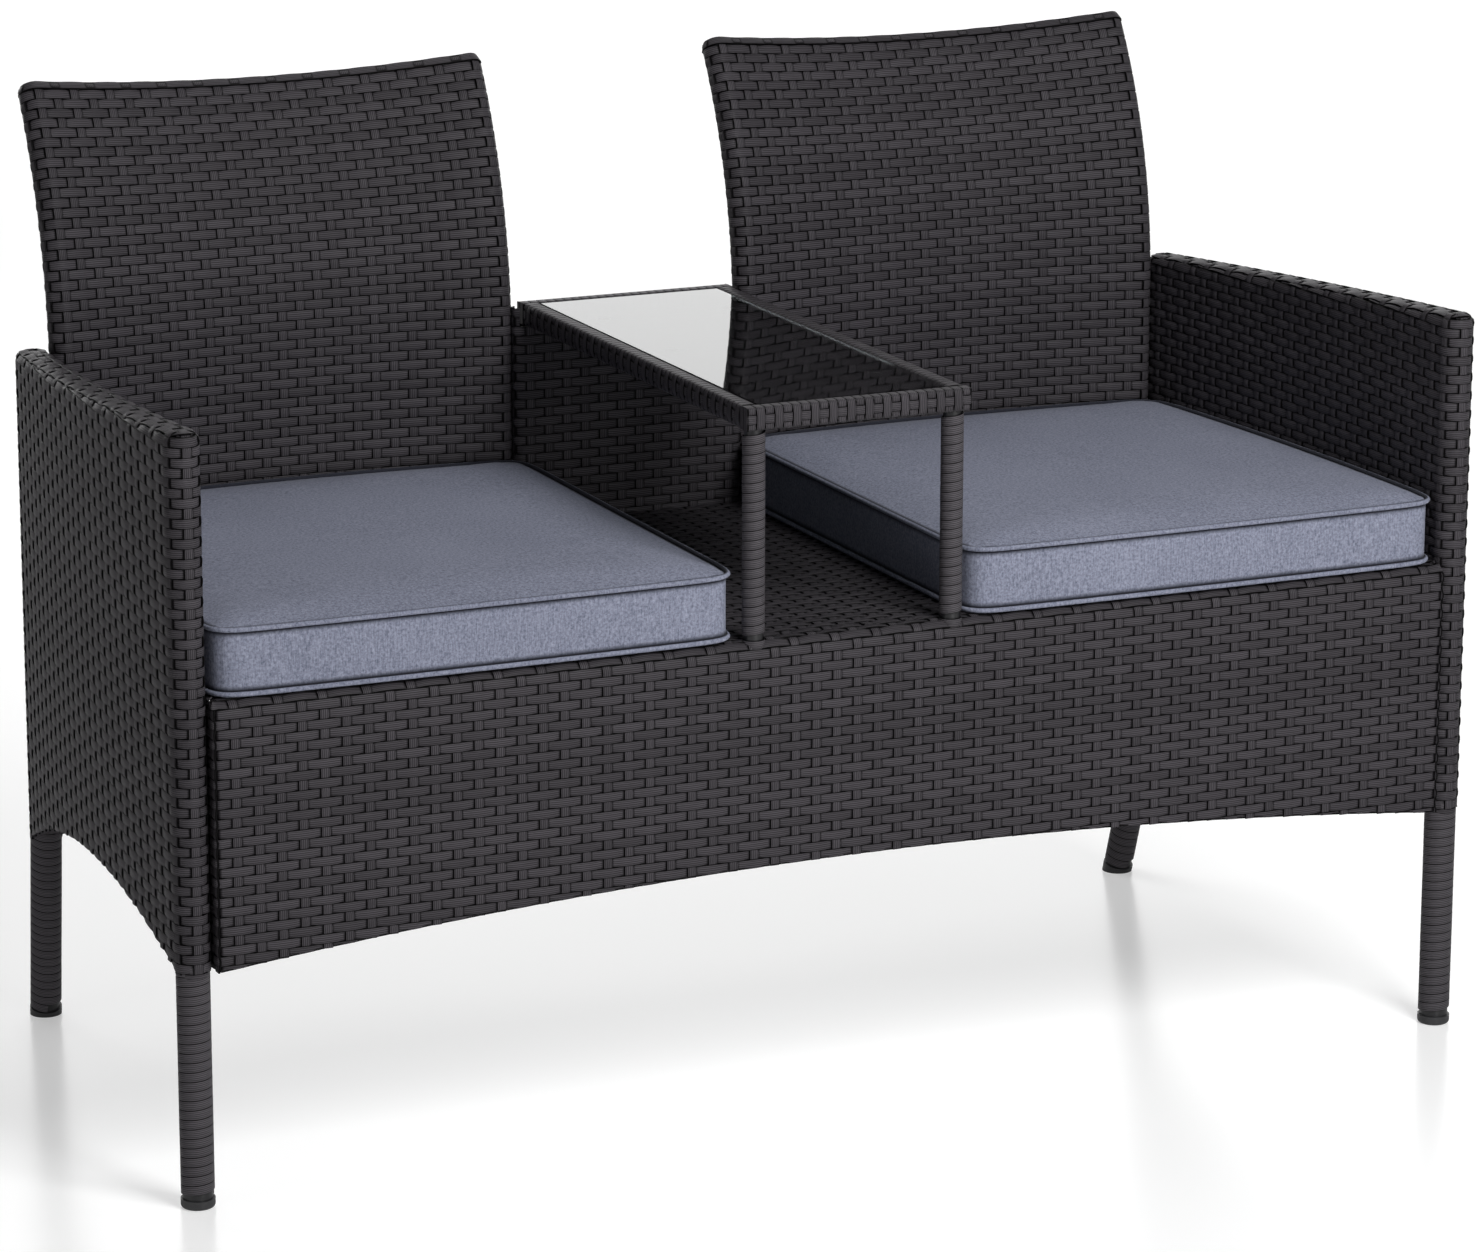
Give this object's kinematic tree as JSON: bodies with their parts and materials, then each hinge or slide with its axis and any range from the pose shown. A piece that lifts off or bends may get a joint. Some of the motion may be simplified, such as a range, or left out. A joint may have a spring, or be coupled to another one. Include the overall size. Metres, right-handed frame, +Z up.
{
  "type": "companion seat bench",
  "caption": "Two-seat patio bench in woven flat strip with arched apron and arm sides, curved backrests, loose seat cushions and a glass-topped table between the seats.",
  "frame": {"origin": "on the ground under the middle of the overall width and depth", "axes": "+X along the bench to the sitter's left, which is the right side seen from the front; +Y to the rear; +Z up"},
  "size_m": [1.2004, 0.5992, 0.8437],
  "materials": {
    "wicker": "satin flat polyethylene strip",
    "tube": "powder-coated",
    "cushion_cloth": "woven polyester, matte",
    "glass": "tempered glass, grey tinted",
    "clear_pad": "soft clear pad",
    "foot_plastic": "moulded",
    "bolt_steel": "zinc-plated"
  },
  "bodies": {
    "frame": {"apron_arch_rod": "tube", "apron_left_upright": "tube", "apron_right_upright": "tube", "apron_weave": "wicker", "arm_bolts": "bolt_steel", "back_bolts": "bolt_steel", "centre_back_left_post": "tube", "centre_back_right_post": "tube", "centre_back_weave": "wicker", "glass_bearers": "tube", "glass_pads": "clear_pad", "left_arch_rod": "tube", "left_arm_rail": "tube", "left_arm_weave": "wicker", "left_back_bottom_rail": "tube", "left_back_inner_upright": "tube", "left_back_outer_upright": "tube", "left_back_top_rail": "tube", "left_back_weave": "wicker", "left_front_foot": "foot_plastic", "left_front_leg": "tube", "left_front_leg_wrap": "wicker", "left_rear_foot": "foot_plastic", "left_rear_leg": "tube", "left_rear_leg_wrap": "wicker", "left_side_rail": "tube", "right_arch_rod": "tube", "right_arm_rail": "tube", "right_arm_weave": "wicker", "right_back_bottom_rail": "tube", "right_back_inner_upright": "tube", "right_back_outer_upright": "tube", "right_back_top_rail": "tube", "right_back_weave": "wicker", "right_front_foot": "foot_plastic", "right_front_leg": "tube", "right_front_leg_wrap": "wicker", "right_rear_foot": "foot_plastic", "right_rear_leg": "tube", "right_rear_leg_wrap": "wicker", "right_side_rail": "tube", "seat_deck_weave": "wicker", "seat_front_rail": "tube", "seat_left_cross_bar": "tube", "seat_left_rail": "tube", "seat_rear_rail": "tube", "seat_right_cross_bar": "tube", "seat_right_rail": "tube", "table_front_rail": "tube", "table_left_post": "tube", "table_left_post_wrap": "wicker", "table_left_rail": "tube", "table_rear_rail": "tube", "table_right_post": "tube", "table_right_post_wrap": "wicker", "table_right_rail": "tube", "table_rim_wrap": "wicker"},
    "left_cushion": {"left_cushion": "cushion_cloth"},
    "right_cushion": {"right_cushion": "cushion_cloth"},
    "glass": {"table_glass": "glass"}
  },
  "joints": [
    {"name": "left_cushion_lift", "type": "slide", "parent": "frame", "child": "left_cushion", "axis": [0, 0, 1], "range_m": [0, 0.45]},
    {"name": "right_cushion_lift", "type": "slide", "parent": "frame", "child": "right_cushion", "axis": [0, 0, 1], "range_m": [0, 0.45]},
    {"name": "glass_lift", "type": "slide", "parent": "frame", "child": "glass", "axis": [0, 0, 1], "range_m": [0, 0.25]}
  ]
}
